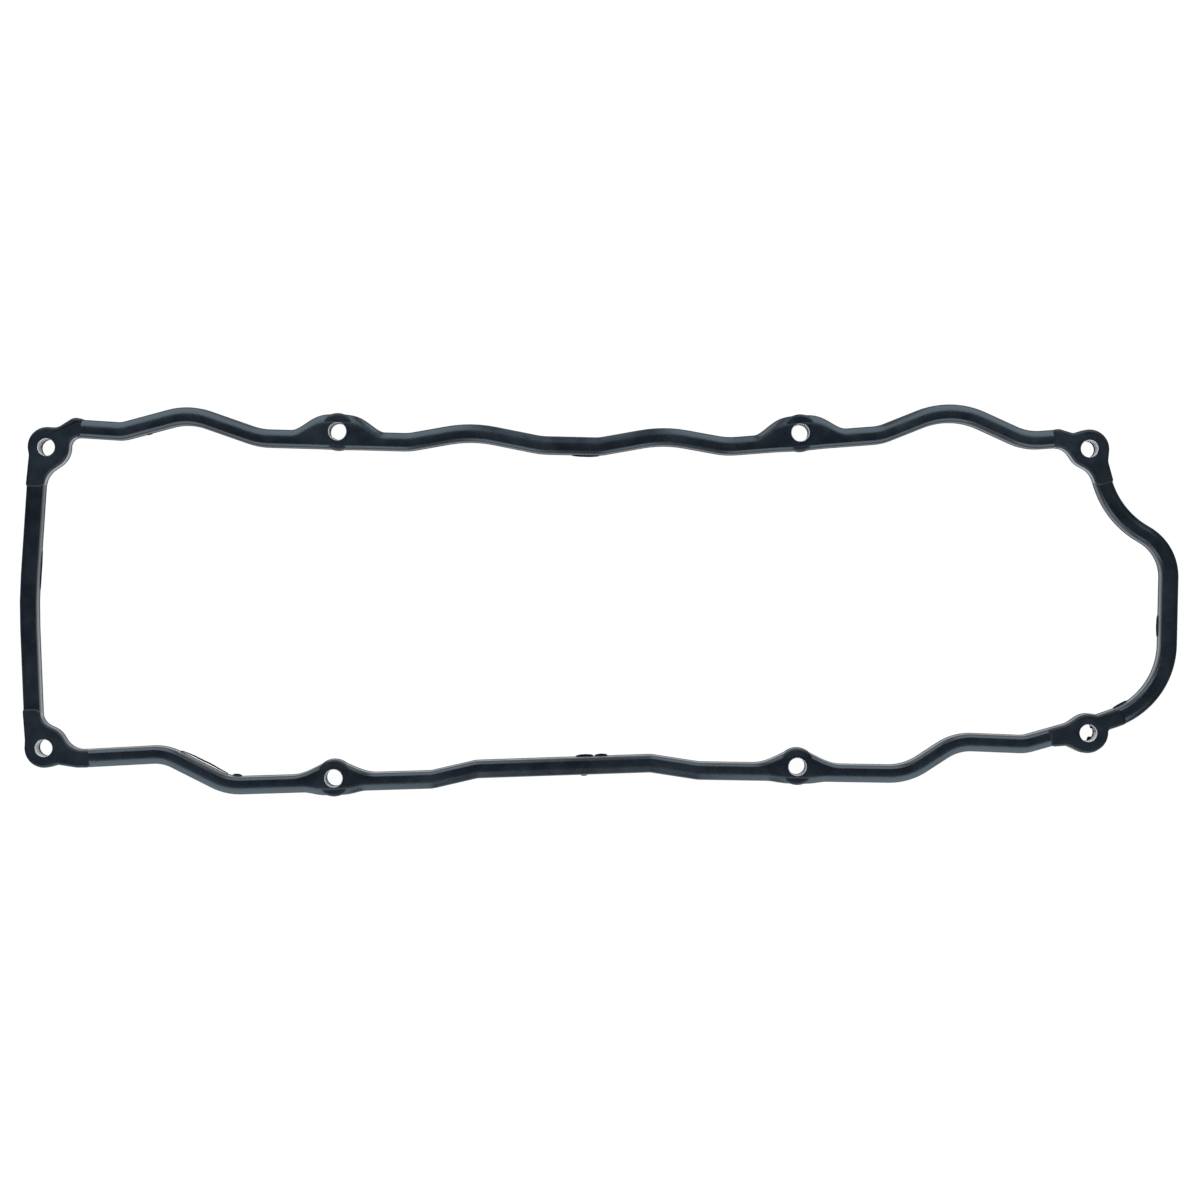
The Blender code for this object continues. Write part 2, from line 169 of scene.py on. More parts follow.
def rounded(corners: tuple[Corner, ...], step: float) -> tuple[Array, Array]:
    """Walks a closed outline whose corners are arcs, each arc no longer than its sides allow.

    An arc's points are its centre plus its radius turned in even steps from the side that comes in
    to the side that leaves, and the heading turns by the same steps.

    Args:
        corners: the outline's corners, anticlockwise or clockwise.
        step: the largest turn between two points of an arc, in degrees.

    Returns:
        The points, one row each, and the heading at each, in radians, unwrapped.
    """
    places = np.array([(corner.x, corner.y) for corner in corners])
    radii = np.array([corner.radius for corner in corners])
    sides = np.roll(places, -1, axis=0) - places
    lengths = np.linalg.norm(sides, axis=1)
    aways = sides / lengths[:, None]
    towards = np.roll(aways, 1, axis=0)
    crosses = towards[:, 0] * aways[:, 1] - towards[:, 1] * aways[:, 0]
    turns = np.arctan2(crosses, np.sum(towards * aways, axis=1))
    tangents = radii * np.tan(np.abs(turns) / 2)
    wanted = tangents + np.roll(tangents, -1)
    room = np.minimum(1.0, lengths / np.maximum(wanted, LEAST_LENGTH))
    radii = radii * np.minimum(room, np.roll(room, 1))
    points, headings = [], []
    for here, toward, radius, turn in zip(places, towards, radii, turns, strict=True):
        start = math.atan2(toward[1], toward[0])
        pieces = max(1, math.ceil(abs(math.degrees(turn)) / step)) if radius > 0 else 1
        shares = np.linspace(0.0, 1.0, pieces + 1)
        angles = start + turn * shares
        side = math.copysign(1.0, turn)
        entry = here - toward * radius * math.tan(abs(turn) / 2)
        centre = entry + side * radius * np.array((-toward[1], toward[0]))
        spokes = side * radius * np.stack((np.sin(angles), -np.cos(angles)), axis=1)
        points.append(centre + spokes)
        headings.append(angles)
    points = np.vstack(points)
    headings = np.unwrap(np.concatenate(headings))
    gaps = np.linalg.norm(points - np.roll(points, 1, axis=0), axis=1)
    kept = gaps > SAME_PLACE
    kept[0] = True
    return points[kept], headings[kept]


@dataclass(frozen=True)
class Flare:
    """Where the bead swells to one side to reach a bolt's pad."""

    centre: float
    rise: float
    reach: float
    fullness: float

    def width(self, lengths: Array, whole: float) -> Array:
        """Gives the added width along the route.

        It is half of one plus the cosine of a half turn times the gap's share of the reach, raised
        to the fullness, which broadens the top.

        Args:
            lengths: the lengths run along the route.
            whole: the route's whole length.

        Returns:
            The added width at each.
        """
        gaps = np.abs(lengths - self.centre)
        gaps = np.minimum(np.minimum(gaps, whole - gaps) / self.reach, 1.0)
        return self.rise * 0.5 * (1 + np.cos(math.pi * gaps**self.fullness))


class Route:
    """The bead's closed centre line, measured by the length run along it."""

    def __init__(self, corners: tuple[Corner, ...], step: float) -> None:
        """Walks the corners.

        Args:
            corners: the closed line's corners.
            step: the largest turn between two points of an arc, in degrees.
        """
        points, headings = rounded(corners, step)
        self.points = np.vstack((points, points[:1]))
        turn = 2 * math.pi * round((headings[-1] - headings[0]) / (2 * math.pi))
        self.headings = np.append(headings, headings[0] + turn)
        steps = np.linalg.norm(np.diff(self.points, axis=0), axis=1)
        self.marks = np.concatenate(([0.0], np.cumsum(steps)))
        self.length = float(self.marks[-1])

    def at(self, lengths: Array) -> tuple[Array, Array]:
        """Gives places on the route.

        Args:
            lengths: the lengths run along the route.

        Returns:
            The point and the outward direction at each, one row each.
        """
        wrapped = np.asarray(lengths, float) % self.length
        x = np.interp(wrapped, self.marks, self.points[:, 0])
        y = np.interp(wrapped, self.marks, self.points[:, 1])
        heading = np.interp(wrapped, self.marks, self.headings)
        return np.stack((x, y), axis=-1), np.stack((np.sin(heading), -np.cos(heading)), axis=-1)

    def nearest(self, x: float, y: float) -> tuple[float, float]:
        """Finds the route's nearest point.

        Args:
            x: the place's x.
            y: the place's y.

        Returns:
            The length run there, and how far outside the route the place lies.
        """
        place = np.array((x, y))
        starts = self.points[:-1]
        spans = np.diff(self.points, axis=0)
        shares = np.clip(np.sum((place - starts) * spans, axis=1) / np.sum(spans**2, axis=1), 0, 1)
        feet = starts + spans * shares[:, None]
        index = int(np.argmin(np.linalg.norm(feet - place, axis=1)))
        length = self.marks[index] + shares[index] * np.linalg.norm(spans[index])
        point, outward = self.at(length)
        return float(length), float((place - point) @ outward)


# Mesh work


def grid_faces(rows: int, columns: int, closed: bool) -> Array:
    """Makes the quads of a grid of points whose columns run round a ring.

    Args:
        rows: the number of rings.
        columns: the points of a ring.
        closed: whether the last ring joins the first.

    Returns:
        Four point numbers for each quad.
    """
    low = np.arange(rows if closed else rows - 1)[:, None]
    high = (low + 1) % rows
    here = np.arange(columns)[None, :]
    after = (here + 1) % columns
    quads = (low * columns + here, low * columns + after, high * columns + after, high * columns + here)
    return np.stack(quads, axis=-1).reshape(-1, 4)


def placed(name: str, data: bpy.types.ID) -> bpy.types.Object:
    """Makes an object and links it to the scene."""
    thing = bpy.data.objects.new(name, data)
    bpy.context.scene.collection.objects.link(thing)
    return thing


def mesh_object(name: str, points: Array, faces: list, finish: Finish) -> bpy.types.Object:
    """Makes an object whose place is in its mesh.

    Args:
        name: the object's name.
        points: the points in millimetres, one row each.
        faces: the point numbers of each face.
        finish: the material slot of every face.

    Returns:
        The new object, linked to the scene.
    """
    mesh = bpy.data.meshes.new(name)
    mesh.from_pydata((points * MM).tolist(), [], faces)
    for _ in Finish:
        mesh.materials.append(None)
    mesh.polygons.foreach_set("material_index", np.full(len(mesh.polygons), finish.value, np.int32))
    mesh.validate()
    return placed(name, mesh)


def stacked_object(name: str, rings: Array, finish: Finish) -> bpy.types.Object:
    """Makes a closed body from rings one above another, with a flat cap at each end.

    Args:
        name: the object's name.
        rings: the points by ring and place, from the lowest ring up, each anticlockwise.
        finish: the material slot of every face.

    Returns:
        The new object.
    """
    count, around = rings.shape[:2]
    faces = grid_faces(count, around, closed=False).tolist()
    faces.append(list(range(around))[::-1])
    faces.append(list(range((count - 1) * around, count * around)))
    return mesh_object(name, rings.reshape(-1, 3), faces, finish)


def offset_rings(outline: Array, profile: Array) -> Array:
    """Lifts an outline into rings that stand off from it.

    Each ring is the outline moved along its mean outward direction by the profile's offset, at the
    profile's height.

    Args:
        outline: the points, anticlockwise.
        profile: offset and height of each ring.

    Returns:
        The points by ring and place.
    """
    leaving = unit(np.roll(outline, -1, axis=0) - outline)
    along = unit(leaving + np.roll(leaving, 1, axis=0))
    outward = np.stack((along[:, 1], -along[:, 0]), axis=1)
    flat = outline[None] + profile[:, None, :1] * outward[None]
    heights = np.broadcast_to(profile[:, None, 1:], (*flat.shape[:2], 1))
    return np.concatenate((flat, heights), axis=2)


# Sub-assemblies


@dataclass(frozen=True)
class Lip:
    """The lip at the mould's parting line, with the draft below it and the wall above it.

    The tip's rows are set off from the lip, and those above it from the wall. Their heights are
    taken from the parting line.
    """

    height: float = 1.7
    draft: float = 0.6
    toe_in: float = 0.1
    toe_height: float = 0.12
    tip: tuple[tuple[float, float], ...] = ((-0.03, -0.1), (0.0, -0.02), (-0.03, 0.05))
    above: tuple[tuple[float, float], ...] = ((0.05, 0.11), (0.0, 0.2), (0.0, 0.5))

    def rows(self, lip: float, wall: float, base: float) -> Array:
        """Gives the lower part of a side, as one profile.

        Args:
            lip: the lip's offset.
            wall: the wall's offset.
            base: the lowest row's height.

        Returns:
            Offset and height of each row, from the lowest.
        """
        slope = self.draft / self.height
        rows = [(lip - self.draft - self.toe_in, base)]
        rows.append((lip - slope * (self.height - self.toe_height), self.toe_height))
        rows += [(lip + across, self.height + rise) for across, rise in self.tip]
        rows += [(wall + across, self.height + rise) for across, rise in self.above]
        return np.array(rows)


@dataclass
class Bead:
    """The sealing bead: a broad outer and a tight inner shoulder, steep walls and a lip all round."""

    route: Route
    pad_radius: float
    width: float = 7.5
    height: float = 6.0
    outer_crown: float = 0.05
    outer_drop: float = 1.9
    inner_crown: float = 1.65
    inner_drop: float = 2.0
    crown_camber: float = 0.02
    shoulder_steps: int = 10
    lip: Lip = Lip()
    lip_reach: float = 0.2
    flare_setback: float = 0.2
    flare_run: float = 11.0
    flare_spread: float = 1.15
    outer_fullness: float = 1.6
    inner_fullness: float = 0.85
    flare_slope: float = 0.2
    flare_step: float = 0.9
    flare_margin: float = 2.0
    least_step: float = 0.15
    longest_step: float = 9.0

    def flares(self) -> tuple[list[Flare], list[Flare]]:
        """Works out how far the bead must swell at each side bolt to reach its pad.

        Returns:
            The outward and the inward flares.
        """
        outward: list[Flare] = []
        inward: list[Flare] = []
        for bolt in SIDE_BOLTS:
            centre, offset = self.route.nearest(bolt.x, bolt.y)
            for flares, side, fullness in (
                (outward, offset, self.outer_fullness),
                (inward, -offset, self.inner_fullness),
            ):
                rise = side + self.pad_radius - self.width / 2 - self.flare_setback
                if rise > 0:
                    reach = self.flare_run + self.flare_spread * rise
                    flares.append(Flare(centre, rise, reach, fullness))
        return outward, inward

    def stations(self, flares: list[Flare]) -> Array:
        """Sets out where the section is drawn: at the arcs' points, close together in the flares.

        Args:
            flares: the flares to draw closely.

        Returns:
            The lengths run along the route, rising.
        """
        marks = [self.route.marks[:-1]]
        for flare in flares:
            end = flare.reach + self.flare_margin
            marks.append((flare.centre + np.arange(-end, end, self.flare_step)) % self.route.length)
        ordered = np.unique(np.round(np.concatenate(marks), 4))
        ordered = ordered[np.diff(ordered, append=self.route.length) > self.least_step]
        ends = np.append(ordered[1:], self.route.length)
        pieces = np.maximum(1, np.ceil((ends - ordered) / self.longest_step)).astype(int)
        spans = [
            np.linspace(low, high, count, endpoint=False)
            for low, high, count in zip(ordered, ends, pieces, strict=True)
        ]
        return np.concatenate(spans)

    def half_section(self, crown: float, drop: float) -> Array:
        """Gives one side of the section past the crown's edge, from its foot to its crown.

        The shoulder is a quarter of an ellipse: the wall's offset times the cosine, and the height
        less the drop times one minus the sine. Above it the crown rises by a slight camber.

        Args:
            crown: how far the crown's edge lies from the route.
            drop: the shoulder's height.

        Returns:
            Offset from the crown's edge and height of each row.
        """
        lip = self.width / 2 - crown
        wall = lip - self.lip_reach
        top = self.height - self.crown_camber
        low = top - drop
        angles = np.linspace(0, math.pi / 2, self.shoulder_steps + 1)
        shoulder = np.stack((wall * np.cos(angles), low + drop * np.sin(angles)), axis=1)
        return np.vstack((self.lip.rows(lip, wall, 0.0), shoulder))

    def build(self) -> bpy.types.Object:
        """Carries the section round the route as one closed grid, station by row.

        A point is the route's point, plus the outward direction times the side's sign times the sum
        of the crown's edge, the row's offset and the flare's width, at the row's height. The flare's
        width is whole at the wall and less by the flare's slope at the crown's edge.

        Returns:
            The bead.
        """
        outward, inward = self.flares()
        lengths = self.stations(outward + inward)
        points, normals = self.route.at(lengths)
        sides, levels = [], []
        for flares, sign, crown, drop in (
            (outward, 1.0, self.outer_crown, self.outer_drop),
            (inward, -1.0, self.inner_crown, self.inner_drop),
        ):
            half = self.half_section(crown, drop)
            wall = half[:, 0].max() - self.lip_reach
            share = np.clip((wall - half[:, 0]) / wall, 0.0, 1.0)
            added = np.max([flare.width(lengths, self.route.length) for flare in flares], axis=0)
            eased = added[:, None] * (1.0 - self.flare_slope * share[None])
            sides.append(sign * (crown + eased + half[None, :, 0]))
            levels.append(half[:, 1])
        middle = np.mean([sides[0][:, -1:], sides[1][:, -1:]], axis=0)
        across = np.concatenate((sides[0], middle, sides[1][:, ::-1]), axis=1)
        heights = np.concatenate((levels[0], [self.height], levels[1][::-1]))
        flat = points[:, None, :] + normals[:, None, :] * across[:, :, None]
        rise = np.broadcast_to(heights[None, :, None], (*across.shape, 1))
        grid = np.concatenate((flat, rise), axis=2)
        faces = grid_faces(*grid.shape[:2], closed=True)[:, ::-1].tolist()
        return mesh_object("bead", grid.reshape(-1, 3), faces, Finish.BEAD)


@dataclass(frozen=True)
class Moulding:
    """A corner moulding: its seams on the bead, and its outer edge before and after the lobe."""

    bolt: Bolt
    seam_before: tuple[float, float]
    edge_before: tuple[Corner, ...]
    lobe: tuple[float, float]
    edge_after: tuple[Corner, ...]
    seam_after: tuple[float, float]
    tongue_first: bool


MOULDINGS = (
    Moulding(
        UPPER_LEFT,
        (-207.7, 68.9),
        (UPPER_LEFT.near(11.4, 12.4, 6.0), UPPER_LEFT.near(4.3, 7.9, 5.0)),
        (82.0, 185.0),
        (UPPER_LEFT.near(-7.2, -3.0, 2.5),),
        (-226.7, 45.2),
        False,
    ),
    Moulding(
        LOWER_LEFT,
        (-227.7, -43.4),
        (LOWER_LEFT.near(-7.8, 3.2, 4.0),),
        (178.0, 286.0),
        (LOWER_LEFT.near(5.4, -6.7, 2.0), LOWER_LEFT.near(13.0, -7.9, 5.0)),
        (-204.5, -63.5),
        True,
    ),
    Moulding(
        LOWER_RIGHT,
        (180.0, -55.2),
        (LOWER_RIGHT.near(-8.2, -5.1, 3.5),),
        (-118.0, 5.0),
        (LOWER_RIGHT.near(8.2, 1.2, 1.2), LOWER_RIGHT.near(11.4, 2.2, 5.0)),
        (209.6, -46.0),
        False,
    ),
    Moulding(
        UPPER_RIGHT,
        (202.4, 46.2),
        (UPPER_RIGHT.near(7.7, -5.0, 4.0),),
        (-8.0, 104.0),
        (UPPER_RIGHT.near(-6.2, 6.2, 3.5), UPPER_RIGHT.near(-12.0, 8.0, 4.0)),
        (181.6, 64.8),
        True,
    ),
)


@dataclass
class Eyes:
    """The bolt eyes: flat corner mouldings, round side pads and the holes through them."""

    route: Route
    wall_offset: float = 3.57
    lip: Lip = Lip()
    lip_reach: float = 0.18
    base_height: float = 0.02
    moulding_height: float = 6.3
    pad_height: float = 5.86
    lobe_radius: float = 7.95
    pad_radius: float = 7.4
    edge_reach: float = 1.1
    edge_drop: float = 1.0
    edge_steps: int = 8
    flat_margin: float = 0.12
    seam_round: float = 1.3
    tongue_round: float = 2.4
    seam_gap: float = 1.0
    hole_radius: float = 3.45
    hole_edge: float = 0.08
    hole_steps: int = 4
    cut_below: float = 2.0
    cut_lead: float = 0.6
    cut_above: float = 3.0
    arc_step: float = 6.0
    sides: int = 96

    def profile(self, height: float) -> Array:
        """Gives a block's side: a draft under the lip, the wall, a quarter ellipse and a flat margin.

        Args:
            height: the block's height.

        Returns:
            Offset and height of each ring, from the lowest.
        """
        angles = np.linspace(0, math.pi / 2, self.edge_steps + 1)
        inset = self.edge_reach * (np.cos(angles) - 1)
        edge = np.stack((inset, height - self.edge_drop * (1 - np.sin(angles))), axis=1)
        margin = (-self.edge_reach - self.flat_margin, height)
        return np.vstack((self.lip.rows(self.lip_reach, 0.0, self.base_height), edge, margin))

    def lobe(self, moulding: Moulding) -> list[Corner]:
        """Puts the lobe's arc round the bolt as two corners a half of the arc apart.

        Args:
            moulding: the moulding whose lobe it is.

        Returns:
            The two corners.
        """
        start, end = moulding.lobe
        quarter = math.radians(end - start) / 4
        reach = self.lobe_radius / math.cos(quarter)
        angles = [math.radians(start) + turns * quarter for turns in (1, 3)]
        return [
            moulding.bolt.near(reach * math.cos(angle), reach * math.sin(angle), self.lobe_radius)
            for angle in angles
        ]

    def beside(self, length: float, side: float, radius: float) -> Corner:
        """Puts a corner where the bead's wall is.

        Args:
            length: the length run along the route.
            side: 1 for the outer wall, -1 for the inner one.
            radius: the corner's radius.

        Returns:
            The corner.
        """
        point, outward = self.route.at(length)
        place = point + outward * side * self.wall_offset
        return Corner(float(place[0]), float(place[1]), radius)

    def outline(self, moulding: Moulding) -> Array:
        """Draws a moulding's outline: its outer edge and lobe, then back along the bead's inner side.

        Args:
            moulding: the moulding to draw.

        Returns:
            The points, anticlockwise.
        """
        first = self.route.nearest(*moulding.seam_before)[0]
        last = self.route.nearest(*moulding.seam_after)[0]
        if last < first:
            last += self.route.length
        tongues = (self.tongue_round, self.seam_round)
        if not moulding.tongue_first:
            tongues = tongues[::-1]
        corners = [self.beside(first, 1, self.seam_round), *moulding.edge_before, *self.lobe(moulding)]
        corners += [*moulding.edge_after, self.beside(last, 1, self.seam_round)]
        corners.append(self.beside(last, -1, tongues[1]))
        marks = np.concatenate((self.route.marks[:-1], self.route.marks[:-1] + self.route.length))
        start = first + tongues[0] + self.seam_gap
        end = last - tongues[1] - self.seam_gap
        inner = marks[(marks > start) & (marks < end)][::-1]
        corners += [self.beside(mark, -1, 0.0) for mark in inner]
        corners.append(self.beside(first, -1, tongues[0]))
        return rounded(tuple(corners), self.arc_step)[0]

    def circle(self, bolt: Bolt, radius: float) -> Array:
        """Gives points round a circle about a bolt, anticlockwise."""
        angles = np.arange(self.sides) * 2 * math.pi / self.sides
        return np.stack((bolt.x + radius * np.cos(angles), bolt.y + radius * np.sin(angles)), axis=1)

    def build(self) -> list[bpy.types.Object]:
        """Builds the four corner mouldings and the four side pads.

        Returns:
            A closed body with its hole for each.
        """
        made = []
        for moulding in MOULDINGS:
            rings = offset_rings(self.outline(moulding), self.profile(self.moulding_height))
            body = stacked_object(f"moulding_{moulding.bolt.name}", rings, Finish.MOULDING)
            carve(body, [self.cutter(moulding.bolt)])
            made.append(body)
        for bolt in SIDE_BOLTS:
            rings = offset_rings(self.circle(bolt, self.pad_radius), self.profile(self.pad_height))
            body = stacked_object(f"pad_{bolt.name}", rings, Finish.PAD)
            carve(body, [self.cutter(bolt)])
            made.append(body)
        return made

    def cutter(self, bolt: Bolt) -> bpy.types.Object:
        """Builds what a bolt hole takes away: a straight wall that opens in a small round at the top.

        The radius grows over the round by the edge times one minus the cosine of the angle.

        Args:
            bolt: the hole's bolt.

        Returns:
            A closed body.
        """
        top = self.moulding_height if bolt in CORNER_BOLTS else self.pad_height
        angles = np.linspace(0, math.pi / 2, self.hole_steps + 1)
        widening = self.hole_edge * (1 - np.cos(angles))
        levels = top - self.hole_edge * (1 - np.sin(angles))
        reach = self.hole_edge + self.cut_lead
        lead = ((reach, top + self.cut_lead), (reach, top + self.cut_above))
        profile = np.vstack(((0.0, -self.cut_below), np.stack((widening, levels), axis=1), lead))
        rings = offset_rings(self.circle(bolt, self.hole_radius), profile)
        # the cutter's faces become the holes' walls, painted pale as a reflection of the white floor
        return stacked_object(f"hole_{bolt.name}", rings, Finish.BORE_REFLECTION)


@dataclass(frozen=True)
class Sliver:
    """A sliver of flash at the parting line: a place beside it, half length, reach and strand."""

    x: float
    y: float
    half_length: float
    reach: float
    strand: float = 0.2


@dataclass(frozen=True)
class Burr:
    """A scrap of flash on a hole's wall: its bolt, bearing, half width in degrees, reach and height."""

    bolt: Bolt
    bearing: float
    half_width: float
    reach: float
    height: float


@dataclass
class Flash:
    """Flash left at the parting line and in the holes, as thin crescents that taper to both ends."""

    route: Route
    hole_radius: float
    lip: Lip = Lip()
    edge: float = 3.72
    thickness: float = 0.3
    sunk: float = 0.12
    wear: float = 0.06
    waves: tuple[float, float] = (9.0, 23.0)
    ripple: float = 0.6
    strand_end: float = 0.25
    sliver_end: float = 0.995
    sliver_steps: int = 40
    burr_end: float = 0.98
    burr_steps: int = 14
    section_sides: int = 10
    slivers: tuple[Sliver, ...] = (
        Sliver(-6.2, -61.8, 3.6, 0.8, 0.42),
        Sliver(0.4, -61.7, 2.6, 0.8, 0.42),
        Sliver(-6.4, -70.4, 1.4, 0.5, 0.28),
        Sliver(-6.0, 57.4, 5.4, 0.55, 0.3),
        Sliver(-146.0, -70.6, 2.3, 0.8, 0.4),
        Sliver(-158.7, -65.2, 11.0, 1.0, 0.34),
        Sliver(-95.5, -66.0, 3.6, 0.5, 0.28),
        Sliver(-181.0, 66.0, 1.2, 0.25),
        Sliver(223.9, -10.4, 4.4, 0.5, 0.28),
        Sliver(209.0, -41.5, 3.6, 0.6, 0.34),
        Sliver(-224.6, 12.0, 8.0, 0.3),
    )
    burrs: tuple[Burr, ...] = (
        Burr(LOWER_RIGHT, -55.0, 20.0, 1.1, 0.7),
        Burr(LOWER_RIGHT, 38.0, 12.0, 0.6, 0.7),
        Burr(UPPER_LEFT, 8.0, 12.0, 0.5, 1.0),
        Burr(SIDE_BOLTS[0], -112.0, 28.0, 0.45, 2.0),
        Burr(SIDE_BOLTS[1], -100.0, 24.0, 0.45, 2.0),
    )

    def section(self) -> Array:
        """Gives the angles round a section, one for each of its points."""
        return np.linspace(0, 2 * math.pi, self.section_sides, endpoint=False)[None]

    def scraps(self) -> list[bpy.types.Object]:
        """Builds each burr as a lens section carried along an arc of its hole's wall.

        The section reaches from just inside the wall towards the hole's middle, and shrinks as the
        square root of one minus the square of the share of the half width.

        Returns:
            A closed body for each burr.
        """
        made = []
        shares = np.linspace(-self.burr_end, self.burr_end, self.burr_steps)
        around = self.section()
        size = np.sqrt(1 - shares**2)[:, None]
        for number, burr in enumerate(self.burrs, start=1):
            bearings = np.radians(burr.bearing - shares * burr.half_width)[:, None]
            breadth = (burr.reach * size + self.sunk) / 2
            radius = self.hole_radius + self.sunk - breadth + breadth * np.cos(around)
            rise = burr.height + self.thickness / 2 * size * np.sin(around)
            x = burr.bolt.x + radius * np.cos(bearings)
            y = burr.bolt.y + radius * np.sin(bearings)
            rings = np.stack((x, y, rise), axis=2)
            made.append(stacked_object(f"burr_{number}", rings, Finish.FLASH))
        return made

    def build(self) -> list[bpy.types.Object]:
        """Builds each sliver as a lens section carried along the bead's edge.

        The section is a ring about a line that bows away from the bead's edge. Both the bow and the
        ring shrink as the square root of one minus the square of the share of the half length. Two
        sine waves, begun elsewhere for each sliver, wear the bow a little unevenly.

        Returns:
            A closed body for each sliver and each burr.
        """
        made = []
        shares = np.linspace(-self.sliver_end, self.sliver_end, self.sliver_steps)
        around = self.section()
        slow, quick = self.waves
        for number, sliver in enumerate(self.slivers, start=1):
            length, offset = self.route.nearest(sliver.x, sliver.y)
            side = math.copysign(1.0, offset)
            points, outward = self.route.at(length + shares * sliver.half_length)
            size = np.sqrt(1 - shares**2)[:, None]
            waves = np.sin(slow * shares + number) + self.ripple * np.sin(quick * shares + 2 * number)
            bow = (sliver.reach - sliver.strand) * size * (1 + self.wear * waves[:, None])
            breadth = sliver.strand * (self.strand_end + (1 - self.strand_end) * size)
            across = side * (self.edge + bow + breadth * np.cos(around))
            rise = self.lip.height + self.thickness / 2 * size * np.sin(around)
            flat = points[:, None] + outward[:, None] * across[:, :, None]
            rings = np.concatenate((flat, rise[:, :, None]), axis=2)
            made.append(stacked_object(f"flash_{number}", rings, Finish.FLASH))
        return made + self.scraps()


@dataclass
class Skin:
    """The whole moulding as one mesh, gathered from its closed bodies and cut by its holes."""

    arc_step: float = 4.0
    sharp: float = 34.0

    def build(self) -> bpy.types.Object:
        """Builds and gathers the bodies, and shades the result smooth up to the sharp angle.

        Returns:
            The one skin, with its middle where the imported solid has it.
        """
        route = Route(ROUTE, self.arc_step)
        eyes = Eyes(route)
        skin = Bead(route, eyes.pad_radius).build()
        carve(skin, [eyes.cutter(bolt) for bolt in (*CORNER_BOLTS, *SIDE_BOLTS)])
        gather(skin, eyes.build() + Flash(route, eyes.hole_radius).build())
        centre(skin.data)
        skin.name = "gasket_skin"
        mesh = skin.data
        mesh.name = "gasket_skin"
        mesh.polygons.foreach_set("use_smooth", np.ones(len(mesh.polygons), bool))
        mesh.set_sharp_from_angle(angle=math.radians(self.sharp))
        return skin


def carve(whole: bpy.types.Object, bodies: list[bpy.types.Object]) -> None:
    """Cuts bodies away from the whole, and removes them.

    Args:
        whole: the object that is changed.
        bodies: the closed bodies.
    """
    group = bpy.data.collections.new("cut_away")
    bpy.context.scene.collection.children.link(group)
    for body in bodies:
        group.objects.link(body)
    for body in (whole, *bodies):
        if signed_volume(body.data) < 0:
            body.data.flip_normals()
    modifier = whole.modifiers.new("cut_away", "BOOLEAN")
    modifier.operation = "DIFFERENCE"
    modifier.operand_type = "COLLECTION"
    modifier.collection = group
    modifier.solver = "EXACT"
    modifier.material_mode = "INDEX"
    bpy.context.view_layer.update()
    graph = bpy.context.evaluated_depsgraph_get()
    result = bpy.data.meshes.new_from_object(whole.evaluated_get(graph))
    whole.modifiers.clear()
    whole.data = result
    for body in bodies:
        bpy.data.objects.remove(body, do_unlink=True)
    bpy.data.collections.remove(group)


def gather(whole: bpy.types.Object, bodies: list[bpy.types.Object]) -> None:
    """Adds bodies to the whole's mesh as they are, and removes them.

    Args:
        whole: the object that is changed.
        bodies: the closed bodies.
    """
    work = bmesh.new()
    work.from_mesh(whole.data)
    for body in bodies:
        if signed_volume(body.data) < 0:
            body.data.flip_normals()
        work.from_mesh(body.data)
        bpy.data.objects.remove(body, do_unlink=True)
    work.to_mesh(whole.data)
    work.free()


def vertices(mesh: bpy.types.Mesh) -> Array:
    """Gives a mesh's vertices, one row each."""
    points = np.empty(len(mesh.vertices) * 3, np.float32)
    mesh.vertices.foreach_get("co", points)
    return points.reshape(-1, 3)


def signed_volume(mesh: bpy.types.Mesh) -> float:
    """Adds up the volumes of the tetrahedra from the origin to each triangle.

    Args:
        mesh: a closed mesh.

    Returns:
        The volume, negative where the mesh is inside out.
    """
    mesh.calc_loop_triangles()
    corners = np.empty(len(mesh.loop_triangles) * 3, np.int32)
    mesh.loop_triangles.foreach_get("vertices", corners)
    triangles = vertices(mesh)[corners.reshape(-1, 3)].astype(float)
    return float(np.sum(np.cross(triangles[:, 0], triangles[:, 1]) * triangles[:, 2]) / 6)


def centre(mesh: bpy.types.Mesh) -> None:
    """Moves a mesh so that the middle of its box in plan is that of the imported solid.

    Args:
        mesh: the mesh that is moved.
    """
    points = vertices(mesh)
    middle = (points.min(axis=0) + points.max(axis=0)) / 2
    target = (np.array(CAD_BOX[0]) + np.array(CAD_BOX[1])) / 2
    points[:, :2] += (target - middle)[:2]
    mesh.vertices.foreach_set("co", points.ravel())
    mesh.update()
    LOG.info("moved by %.3f, %.3f mm", *((target - middle)[:2] / MM))


# Shader groups


